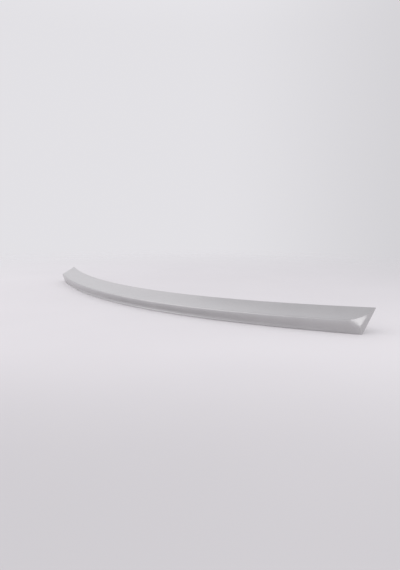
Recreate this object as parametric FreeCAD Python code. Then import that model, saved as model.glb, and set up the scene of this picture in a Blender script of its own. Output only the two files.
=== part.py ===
"""Trunk lip spoiler: one moulded shell, bowed in plan, lying on its rear lower edge.

Millimetres. X runs along the spoiler, +Y points to the front of the car and +Z points up.
The origin is at the middle of the rear lower edge, on the surface that the spoiler lies on.
"""
import FreeCAD
import Part
import math
import os

# Rear lower edge seen from above: its span and how far its ends and halfway points lie forward
SPAN = 1202.0
BOW_AT_END = 141.4
BOW_HALFWAY = 36.6

# Section at the middle and at the ends of the span
LIP_HEIGHT_MID = 26.5
LIP_HEIGHT_END = 31.0
LIP_OVERHANG_MID = 6.0
LIP_OVERHANG_END = 8.0
LEADING_REACH_MID = 44.0
LEADING_REACH_END = 45.0
LEADING_HEIGHT_MID = 45.5
LEADING_HEIGHT_END = 51.6
TOP_HOLLOW_MID = 3.0
TOP_HOLLOW_END = 2.5

# Lip, rear face and foot
LIP_RADIUS = 4.0
LIP_FACE = 13.0
UNDERCUT_FORWARD_MID = 6.0
UNDERCUT_FORWARD_END = -1.0
UNDERCUT_HEIGHT = 11.0
FOOT_WIDTH = 5.0
FOOT_BEVEL = 1.5
LEADING_THICKNESS = 3.2
NOSE_ROUNDNESS = 0.45

# Hollow underside with its bonding rims and cross ribs
WALL = 3.5
LIP_SOLID = 4.0
FRONT_RIM = 18.0
REAR_RIM = 4.0
END_RIM = 26.0
RIB_PITCH = 105.0
RIB_THICKNESS = 2.5
RIB_SETBACK = 3.0

# Ends: the wall along the side of the lid, and the soft facet across its corner with the rear face,
# given by how far it reaches from that corner along each of them
END_SWEEP_DEG = 7.8
FACET_REAR_AT_FOOT = 4.0
FACET_REAR_AT_LIP = 24.0
FACET_SIDE_AT_LIP = 22.0
FACET_SIDE_START_HEIGHT = 15.0
CORNER_ROUND = 1.5
FACET_SOFTNESS = 0.25
FACET_GRAZE = 0.1

# Stations of the lofts
STATIONS = 9
FACET_STATIONS = 6

HALF_SPAN = SPAN / 2
BOW_SQUARE = (16 * BOW_HALFWAY - BOW_AT_END) / 3
BOW_FOURTH = BOW_AT_END - BOW_SQUARE
END_OVERRUN = LEADING_REACH_END
NOSE_RADIUS = NOSE_ROUNDNESS * LEADING_THICKNESS
CUT_MARGIN = 2 * WALL
FACET_TOP_HEIGHT = (LIP_HEIGHT_END + LEADING_HEIGHT_END) / 2
ALONG = FreeCAD.Vector(1, 0, 0)
UP = FreeCAD.Vector(0, 0, 1)


def in_section(forward, height):
    return FreeCAD.Vector(0, forward, height)


def bow(x):
    """Forward position of the rear lower edge, a curve through its middle, halfway and end points."""
    share = (x / HALF_SPAN) ** 2
    return BOW_SQUARE * share + BOW_FOURTH * share ** 2


def bow_slope(x):
    share = (x / HALF_SPAN) ** 2
    return (2 * BOW_SQUARE + 4 * BOW_FOURTH * share) * x / HALF_SPAN ** 2


def along_span(middle, end, x):
    return middle + (end - middle) * (x / HALF_SPAN) ** 2


def section_corners(x):
    """Corner points and directions of the section, relative to the rear lower edge."""
    overhang = along_span(LIP_OVERHANG_MID, LIP_OVERHANG_END, x)
    lip = in_section(-overhang, along_span(LIP_HEIGHT_MID, LIP_HEIGHT_END, x))
    reach = along_span(LEADING_REACH_MID, LEADING_REACH_END, x)
    lead = in_section(reach, along_span(LEADING_HEIGHT_MID, LEADING_HEIGHT_END, x))
    heel = in_section(FOOT_WIDTH, 0)
    under = (lead - heel).normalize()
    below = in_section(under.z, -under.y)
    chord = (lead - lip).normalize()
    return {
        "lip": lip,
        "lead": lead,
        "heel": heel,
        "toe": lead + below * LEADING_THICKNESS,
        "under": under,
        "below": below,
        "chord": chord,
        "inward": in_section(chord.z, -chord.y),
        "undercut": along_span(UNDERCUT_FORWARD_MID, UNDERCUT_FORWARD_END, x),
        "hollow": along_span(TOP_HOLLOW_MID, TOP_HOLLOW_END, x),
    }


def rounded(before, corner, after, radius):
    """Start, middle and end of the arc that rounds a corner."""
    back = (before - corner).normalize()
    ahead = (after - corner).normalize()
    half_angle = back.getAngle(ahead) / 2
    tangent = radius / math.tan(half_angle)
    middle = corner + (back + ahead).normalize() * (radius / math.sin(half_angle) - radius)
    return corner + back * tangent, middle, corner + ahead * tangent


def line(start, end):
    return Part.LineSegment(start, end).toShape()


def arc(start, middle, end):
    return Part.Arc(start, middle, end).toShape()


def bezier(*poles):
    curve = Part.BezierCurve()
    curve.setPoles(list(poles))
    return curve


def loft(section, half_length):
    """Solid through the sections at evenly spaced stations."""
    wires = []
    for i in range(STATIONS):
        x = half_length * (2 * i / (STATIONS - 1) - 1)
        wire = Part.Wire(section(x))
        wire.translate(FreeCAD.Vector(x, bow(x), 0))
        wires.append(wire)
    return Part.makeLoft(wires, True, False)


def outer_section(x):
    """Outline that runs to a keel below the floor, so that a level cut leaves the flat foot."""
    c = section_corners(x)
    lead, toe, heel = c["lead"], c["toe"], c["heel"]
    rise = (toe - heel).normalize()
    keel = heel - rise * ((FOOT_WIDTH - FOOT_BEVEL) / (rise.y + rise.z))
    centre, radius = top_circle(c)
    top_middle = centre + c["inward"] * radius
    top_slope = (lead - centre).cross(ALONG)
    lower_nose = rounded(heel, toe, lead, NOSE_RADIUS)
    upper_nose = rounded(toe, lead, lead + top_slope, NOSE_RADIUS)
    crease = crease_round(c)
    return [
        line(keel, lower_nose[0]),
        arc(*lower_nose),
        line(lower_nose[2], upper_nose[0]),
        arc(*upper_nose),
        arc(upper_nose[2], top_middle, crease[0]),
        arc(*crease),
        rear_face(c).toShape(),
        line(rear_face(c).EndPoint, keel),
    ]


def crease_round(c):
    """Arc round the lip, from the top face's slope there to straight down."""
    up_the_top = ALONG.cross(c["lip"] - top_circle(c)[0])
    return rounded(c["lip"] + up_the_top, c["lip"], c["lip"] - UP * LIP_FACE, LIP_RADIUS)


def rear_face(c):
    """Curve from the lip's crease down round the undercut to the foot."""
    undercut = in_section(c["undercut"], UNDERCUT_HEIGHT)
    return bezier(crease_round(c)[2], c["lip"] - UP * LIP_FACE, undercut, in_section(0, FOOT_BEVEL))


def top_circle(c):
    """Centre and radius of the arc across the top face, which is hollow seen from above."""
    half_width = (c["lead"] - c["lip"]).Length / 2
    radius = (half_width ** 2 + c["hollow"] ** 2) / (2 * c["hollow"])
    centre = (c["lead"] + c["lip"]) * 0.5 - c["inward"] * (radius - c["hollow"])
    return centre, radius


def where_ray_meets_circle(start, direction, centre, radius):
    """First point of the circle on a ray that starts outside it."""
    offset = start - centre
    along = -offset.dot(direction)
    clear = offset.Length ** 2 - along ** 2
    return start + direction * (along - math.sqrt(radius ** 2 - clear))


def hollow_section(x):
    c = section_corners(x)
    below = c["below"]
    centre, radius = top_circle(c)
    roof_radius = radius + WALL
    front = c["toe"] - c["under"] * FRONT_RIM
    roof_front = where_ray_meets_circle(front, below * -1, centre, roof_radius)
    roof_rear = centre + (c["lip"] + c["chord"] * LIP_SOLID - centre).normalize() * roof_radius
    roof_middle = centre + (roof_front + roof_rear - centre * 2).normalize() * roof_radius
    rear = c["heel"] + c["under"] * REAR_RIM
    outside = below * CUT_MARGIN
    return [
        line(front + outside, roof_front),
        arc(roof_front, roof_middle, roof_rear),
        line(roof_rear, rear),
        line(rear, rear + outside),
        line(rear + outside, front + outside),
    ]


def rim_section(x):
    """Band along the underside that the ribs stay clear of."""
    c = section_corners(x)
    outside = c["below"] * CUT_MARGIN
    inside = c["below"] * -RIB_SETBACK
    first = c["heel"] - c["under"] * CUT_MARGIN
    last = c["toe"] + c["under"] * CUT_MARGIN
    corners = [first + outside, last + outside, last + inside, first + inside]
    return [line(corners[i - 1], corners[i]) for i in range(4)]


def rear_edge(x):
    return FreeCAD.Vector(x, bow(x), 0)


def off_end_wall():
    """Outward normal of the right end wall."""
    sweep = math.radians(END_SWEEP_DEG)
    return FreeCAD.Vector(math.cos(sweep), -math.sin(sweep), 0)


def beyond_end_wall():
    """Space outboard of the right end wall."""
    size = 2 * (LEADING_REACH_END + LEADING_HEIGHT_END)
    block = Part.makeBox(2 * size, 2 * size, 2 * END_OVERRUN, FreeCAD.Vector(-size, -size, 0))
    block.Placement = FreeCAD.Placement(rear_edge(HALF_SPAN), FreeCAD.Rotation(UP, off_end_wall()))
    return block


def facet_outline(place):
    """Level outline of the space outside the right end's facet, at one place of the rear face's profile."""
    along_rear = FreeCAD.Vector(1, bow_slope(HALF_SPAN), 0).normalize()
    off_rear = along_rear.cross(UP)
    off_side = off_end_wall()
    along_side = UP.cross(off_side)
    corner = rear_edge(HALF_SPAN) + place
    corner -= along_rear * (place.dot(off_side) / along_rear.dot(off_side))

    height = min(place.z, FACET_TOP_HEIGHT)
    rear_reach = FACET_REAR_AT_FOOT + (FACET_REAR_AT_LIP - FACET_REAR_AT_FOOT) * height / LIP_HEIGHT_END
    side_share = (height - FACET_SIDE_START_HEIGHT) / (LIP_HEIGHT_END - FACET_SIDE_START_HEIGHT)
    side_reach = max(FACET_SIDE_AT_LIP * side_share, CORNER_ROUND)
    to_rear = along_rear * -rear_reach
    to_side = along_side * side_reach
    rear = corner + to_rear + off_rear * FACET_GRAZE
    side = corner + to_side + off_side * FACET_GRAZE

    clear = rear_reach + side_reach
    far_side = side + off_side * clear
    far_corner = corner + (off_side + off_rear) * clear
    far_rear = rear + off_rear * clear
    facet = bezier(rear, rear - to_rear * FACET_SOFTNESS, side - to_side * FACET_SOFTNESS, side)
    return [
        facet.toShape(),
        line(side, far_side),
        line(far_side, far_corner),
        line(far_corner, far_rear),
        line(far_rear, rear),
    ]


def outside_facet():
    """Space outside the facet of the right end, from below the floor to above the leading edge."""
    c = section_corners(HALF_SPAN)
    profile = rear_face(c)
    places = [in_section(0, -FOOT_BEVEL)]
    places += [profile.value(1 - i / (FACET_STATIONS - 1)) for i in range(FACET_STATIONS)]
    step = UP * (FACET_TOP_HEIGHT - LIP_HEIGHT_END)
    places += [c["lip"] + step * i for i in (1, 2, 3)]
    return Part.makeLoft([Part.Wire(facet_outline(place)) for place in places], True, False)


def below_floor():
    """Space below the surface that the spoiler lies on."""
    return Part.makeBox(2 * SPAN, 2 * SPAN, SPAN, FreeCAD.Vector(-SPAN, -SPAN, -SPAN))


def both_ends(shape):
    return [shape, shape.mirror(FreeCAD.Vector(), ALONG)]


def ribs(half_length):
    """Cross ribs at an even pitch, kept back from the bonding rims."""
    bays = max(2, round(2 * half_length / RIB_PITCH))
    deep = 2 * (BOW_AT_END + LEADING_REACH_END)
    rim = loft(rim_section, HALF_SPAN)
    found = []
    for i in range(1, bays):
        x = half_length * (2 * i / bays - 1)
        corner = FreeCAD.Vector(x - RIB_THICKNESS / 2, -deep / 2, -CUT_MARGIN)
        slab = Part.makeBox(RIB_THICKNESS, 2 * deep, deep, corner)
        found.append(slab.cut(rim))
    return found


def lip_spoiler():
    body = loft(outer_section, HALF_SPAN + END_OVERRUN)
    body = body.cut(both_ends(beyond_end_wall()) + [below_floor()])
    body = body.cut(both_ends(outside_facet()))
    half_hollow = HALF_SPAN - END_RIM
    hollow = loft(hollow_section, half_hollow).cut(ribs(half_hollow))
    return body.cut(hollow).Solids[0]


os.makedirs("parts", exist_ok=True)
lip_spoiler().exportStep("parts/lip_spoiler.step")
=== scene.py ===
"""Looks for the trunk lip spoiler.

Satin silver paint with a primed underside, a pale studio floor, soft light and the photo's camera.
Lengths are in metres and colours are linear RGB.
"""

import math

import bpy
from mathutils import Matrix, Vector

# Camera
CAMERA_PLACE = (0.99421, -0.73427, 0.23232)
CAMERA_TURN_DEG = 44.3365
CAMERA_DIP_DEG = 8.1364
LENS_MM = 28.42
NEAREST_SEEN = 0.01

# Colours
SILVER = (0.515, 0.508, 0.511)
PRIMER = (0.30, 0.30, 0.305)
FLOOR = (0.835, 0.815, 0.83)
BACKDROP = (0.765, 0.755, 0.785)

# Noise patterns of the finish, by their scale per metre, and the share of a noise's range that counts
CLOUD_SCALE = 16.0
PEEL_SCALE = 130.0
GRAIN_SCALE = 420.0
FLAKE_SCALE = 2200.0
NOISE_RANGE = (0.3, 0.7)

# Silver paint
SILVER_CLOUD_SHADE = (0.97, 1.03)
FLAKE_SHADE = (0.94, 1.06)
SILVER_ROUGHNESS = (0.36, 0.42)
SILVER_METALLIC = 0.58
COAT_WEIGHT = 0.6
COAT_ROUGHNESS = 0.3

# Primer
PRIMER_CLOUD_SHADE = (0.92, 1.08)
PRIMER_GRAIN_SHADE = (0.90, 1.10)
PRIMER_ROUGHNESS = (0.62, 0.74)
PRIMER_METALLIC = 0.05

BUMP_STRENGTH = 0.25
BUMP_HEIGHT = 0.00004

# Where the primer shows: on what faces down to the lid, and on cross walls within the hollow's length
LID_SIDE = (0.0, 0.76, -0.65)
LID_SIDE_LEAST = 0.35
CROSS_WALL_LEAST = 0.8
HOLLOW_HALF_LENGTH = 0.5765

# Floor, with painted shade that darkens it in the foreground of the camera's view, and which clears with
# distance to show the backdrop
FLOOR_RADIUS = 12.0
FLOOR_SIDES = 96
FLOOR_CLOUD_SCALE = 3.0
FLOOR_CLOUD_SHADE = (0.99, 1.01)
TO_FOREGROUND = (0.7, -0.714, 0.0)
FOREGROUND_RANGE = (0.38, 0.95)
FOREGROUND_PAINTED_SHADE = (1.0, 0.80)
CLEARING_RANGE = (0.5, 2.4)

# Backdrop, which is darker to the right of the photo's view, brighter halfway up and darker overhead
TO_RIGHT = (0.715, 0.699, 0.0)
RIGHT_RANGE = (0.0, 0.6)
RIGHT_SHADE = (1.0, 0.81)
UPWARD = (0.0, 0.0, 1.0)
HALFWAY_UP_RANGE = (0.35, 0.6)
HALFWAY_UP_SHADE = (1.0, 1.18)
OVERHEAD_RANGE = (0.6, 0.95)
OVERHEAD_SHADE = (1.0, 0.74)


class Nodes:
    """Short way to add and link the nodes of one tree."""

    def __init__(self, owner):
        owner.use_nodes = True
        self.tree = owner.node_tree
        self.tree.nodes.clear()

    def add(self, kind, inputs=None, **settings):
        """New node, with each input set to a value or linked to another node's output."""
        node = self.tree.nodes.new(kind)
        for name, value in settings.items():
            setattr(node, name, value)
        for name, value in (inputs or {}).items():
            socket = node.inputs[name]
            if isinstance(value, bpy.types.NodeSocket):
                self.tree.links.new(value, socket)
            else:
                socket.default_value = value
        return node

    def math(self, operation, first, second=0.0):
        return self.add("ShaderNodeMath", {0: first, 1: second}, operation=operation).outputs[0]

    def noise(self, place, scale, detail):
        node = self.add("ShaderNodeTexNoise", {"Vector": place, "Scale": scale, "Detail": detail})
        return node.outputs[0]

    def ramp(self, value, span, shades, kind="LINEAR"):
        """Map one range onto another, held at both ends."""
        ends = {"Value": value, 1: span[0], 2: span[1], 3: shades[0], 4: shades[1]}
        return self.add("ShaderNodeMapRange", ends, interpolation_type=kind).outputs[0]

    def soft_ramp(self, value, span, shades):
        return self.ramp(value, span, shades, "SMOOTHSTEP")

    def along(self, vector, direction):
        """Length of a vector along a direction."""
        node = self.add("ShaderNodeVectorMath", {0: vector, 1: direction}, operation="DOT_PRODUCT")
        return node.outputs["Value"]

    def scaled(self, colour, shade):
        node = self.add("ShaderNodeVectorMath", {0: colour, "Scale": shade}, operation="SCALE")
        return node.outputs[0]

    def mix_colours(self, share, first, second):
        node = self.add("ShaderNodeMix", {"Factor": share, 6: first, 7: second}, data_type="RGBA")
        return node.outputs[2]

    def mix_values(self, share, first, second):
        return self.add("ShaderNodeMix", {"Factor": share, 2: first, 3: second}).outputs[0]


def underside_mask(nodes):
    """1 on the hollow's walls, ribs and bonding rims, 0 on the faces that show on the car."""
    geometry = nodes.add("ShaderNodeNewGeometry")
    normal = geometry.outputs["True Normal"]
    normal_x = nodes.add("ShaderNodeSeparateXYZ", {0: normal}).outputs["X"]
    place_x = nodes.add("ShaderNodeSeparateXYZ", {0: geometry.outputs["Position"]}).outputs["X"]
    faces_lid = nodes.math("GREATER_THAN", nodes.along(normal, LID_SIDE), LID_SIDE_LEAST)
    cross_wall = nodes.math("GREATER_THAN", nodes.math("ABSOLUTE", normal_x), CROSS_WALL_LEAST)
    inboard = nodes.math("LESS_THAN", nodes.math("ABSOLUTE", place_x), HOLLOW_HALF_LENGTH)
    return nodes.math("MAXIMUM", faces_lid, nodes.math("MULTIPLY", cross_wall, inboard))


def silver_paint():
    """Silver with flake, orange peel and a clear coat, and a dull grained primer on the underside."""
    material = bpy.data.materials.new("silver_paint")
    nodes = Nodes(material)
    place = nodes.add("ShaderNodeTexCoord").outputs["Object"]
    hidden = underside_mask(nodes)
    cloud = nodes.noise(place, CLOUD_SCALE, detail=3.0)
    peel = nodes.noise(place, PEEL_SCALE, detail=1.0)
    grain = nodes.noise(place, GRAIN_SCALE, detail=2.0)
    flakes = nodes.add("ShaderNodeTexVoronoi", {"Vector": place, "Scale": FLAKE_SCALE}).outputs["Color"]
    flake = nodes.add("ShaderNodeSeparateColor", {0: flakes}).outputs[0]

    silver_shade = nodes.math(
        "MULTIPLY",
        nodes.ramp(cloud, NOISE_RANGE, SILVER_CLOUD_SHADE),
        nodes.ramp(flake, (0.0, 1.0), FLAKE_SHADE),
    )
    primer_shade = nodes.math(
        "MULTIPLY",
        nodes.ramp(cloud, NOISE_RANGE, PRIMER_CLOUD_SHADE),
        nodes.ramp(grain, NOISE_RANGE, PRIMER_GRAIN_SHADE),
    )
    roughness = nodes.mix_values(
        hidden,
        nodes.ramp(cloud, NOISE_RANGE, SILVER_ROUGHNESS),
        nodes.ramp(grain, NOISE_RANGE, PRIMER_ROUGHNESS),
    )
    height = nodes.math("ADD", peel, nodes.math("MULTIPLY", grain, hidden))
    bump = nodes.add(
        "ShaderNodeBump", {"Height": height, "Strength": BUMP_STRENGTH, "Distance": BUMP_HEIGHT}
    )
    shader = nodes.add(
        "ShaderNodeBsdfPrincipled",
        {
            "Base Color": nodes.mix_colours(
                hidden, nodes.scaled(SILVER, silver_shade), nodes.scaled(PRIMER, primer_shade)
            ),
            "Metallic": nodes.ramp(hidden, (0.0, 1.0), (SILVER_METALLIC, PRIMER_METALLIC)),
            "Roughness": roughness,
            "Normal": bump.outputs[0],
            "Coat Weight": COAT_WEIGHT,
            "Coat Roughness": COAT_ROUGHNESS,
        },
    )
    nodes.add("ShaderNodeOutputMaterial", {"Surface": shader.outputs[0]})
    return material


def floor_material():
    material = bpy.data.materials.new("studio_floor")
    nodes = Nodes(material)
    place = nodes.add("ShaderNodeTexCoord").outputs["Object"]
    # Painted shade: the floor colour is darkened towards the foreground, times a faint random tone
    shade = nodes.math(
        "MULTIPLY",
        nodes.soft_ramp(nodes.along(place, TO_FOREGROUND), FOREGROUND_RANGE, FOREGROUND_PAINTED_SHADE),
        nodes.ramp(nodes.noise(place, FLOOR_CLOUD_SCALE, detail=2.0), NOISE_RANGE, FLOOR_CLOUD_SHADE),
    )
    distance = nodes.add("ShaderNodeVectorMath", {0: place}, operation="LENGTH").outputs["Value"]
    clearing = nodes.soft_ramp(distance, CLEARING_RANGE, (0.0, 1.0))
    matt = nodes.add("ShaderNodeBsdfDiffuse", {"Color": nodes.scaled(FLOOR, shade)})
    clear = nodes.add("ShaderNodeBsdfTransparent")
    surface = nodes.add("ShaderNodeMixShader", {0: clearing, 1: matt.outputs[0], 2: clear.outputs[0]})
    nodes.add("ShaderNodeOutputMaterial", {"Surface": surface.outputs[0]})
    return material


def add_floor():
    mesh = bpy.data.meshes.new("studio_floor")
    turns = [i * math.tau / FLOOR_SIDES for i in range(FLOOR_SIDES)]
    rim = [(FLOOR_RADIUS * math.cos(turn), FLOOR_RADIUS * math.sin(turn), 0.0) for turn in turns]
    mesh.from_pydata(rim, [], [list(range(FLOOR_SIDES))])
    mesh.materials.append(floor_material())
    floor = bpy.data.objects.new("studio_floor", mesh)
    bpy.context.scene.collection.objects.link(floor)


def add_softbox(name, place, target, width, height, watts):
    lamp = bpy.data.lights.new(name, "AREA")
    lamp.shape = "RECTANGLE"
    lamp.size = width
    lamp.size_y = height
    lamp.energy = watts
    holder = bpy.data.objects.new(name, lamp)
    holder.location = place
    holder.rotation_euler = (Vector(target) - Vector(place)).to_track_quat("-Z", "Y").to_euler()
    holder.visible_camera = False
    bpy.context.scene.collection.objects.link(holder)


def add_lamps():
    add_softbox(
        "left_softbox",
        place=(-1.85, 0.9, 1.5),
        target=(0.0, 0.07, 0.0),
        width=2.0,
        height=2.2,
        watts=2.3,
    )
    add_softbox(
        "front_softbox",
        place=(-1.1, -1.5, 1.8),
        target=(-0.1, -0.1, 0.0),
        width=3.2,
        height=2.6,
        watts=18.0,
    )
    add_softbox(
        "right_softbox",
        place=(1.42, 0.12, 0.55),
        target=(0.6, 0.14, 0.03),
        width=0.8,
        height=0.5,
        watts=1.8,
    )


def add_world():
    world = bpy.data.worlds.new("studio")
    bpy.context.scene.world = world
    nodes = Nodes(world)
    direction = nodes.add("ShaderNodeTexCoord").outputs["Generated"]
    upward = nodes.along(direction, UPWARD)
    up_shade = nodes.math(
        "MULTIPLY",
        nodes.soft_ramp(upward, HALFWAY_UP_RANGE, HALFWAY_UP_SHADE),
        nodes.soft_ramp(upward, OVERHEAD_RANGE, OVERHEAD_SHADE),
    )
    right_shade = nodes.soft_ramp(nodes.along(direction, TO_RIGHT), RIGHT_RANGE, RIGHT_SHADE)
    colour = nodes.scaled(BACKDROP, nodes.math("MULTIPLY", right_shade, up_shade))
    background = nodes.add("ShaderNodeBackground", {"Color": colour})
    nodes.add("ShaderNodeOutputWorld", {"Surface": background.outputs[0]})


def add_camera():
    lens = bpy.data.cameras.new("photo_camera")
    lens.lens = LENS_MM
    lens.clip_start = NEAREST_SEEN
    camera = bpy.data.objects.new("photo_camera", lens)
    camera.location = CAMERA_PLACE
    camera.rotation_euler = (math.radians(90 - CAMERA_DIP_DEG), 0, math.radians(CAMERA_TURN_DEG))
    bpy.context.scene.collection.objects.link(camera)
    bpy.context.scene.camera = camera


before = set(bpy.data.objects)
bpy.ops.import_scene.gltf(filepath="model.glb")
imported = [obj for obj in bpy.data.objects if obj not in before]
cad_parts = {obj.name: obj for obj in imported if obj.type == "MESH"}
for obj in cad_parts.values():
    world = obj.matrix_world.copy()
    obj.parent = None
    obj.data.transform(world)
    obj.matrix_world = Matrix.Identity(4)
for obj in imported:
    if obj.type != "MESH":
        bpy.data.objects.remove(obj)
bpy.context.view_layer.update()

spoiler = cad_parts["lip_spoiler"]
spoiler.data.materials.clear()
spoiler.data.materials.append(silver_paint())

add_floor()
add_world()
add_lamps()
add_camera()
bpy.context.scene.view_settings.view_transform = "Standard"
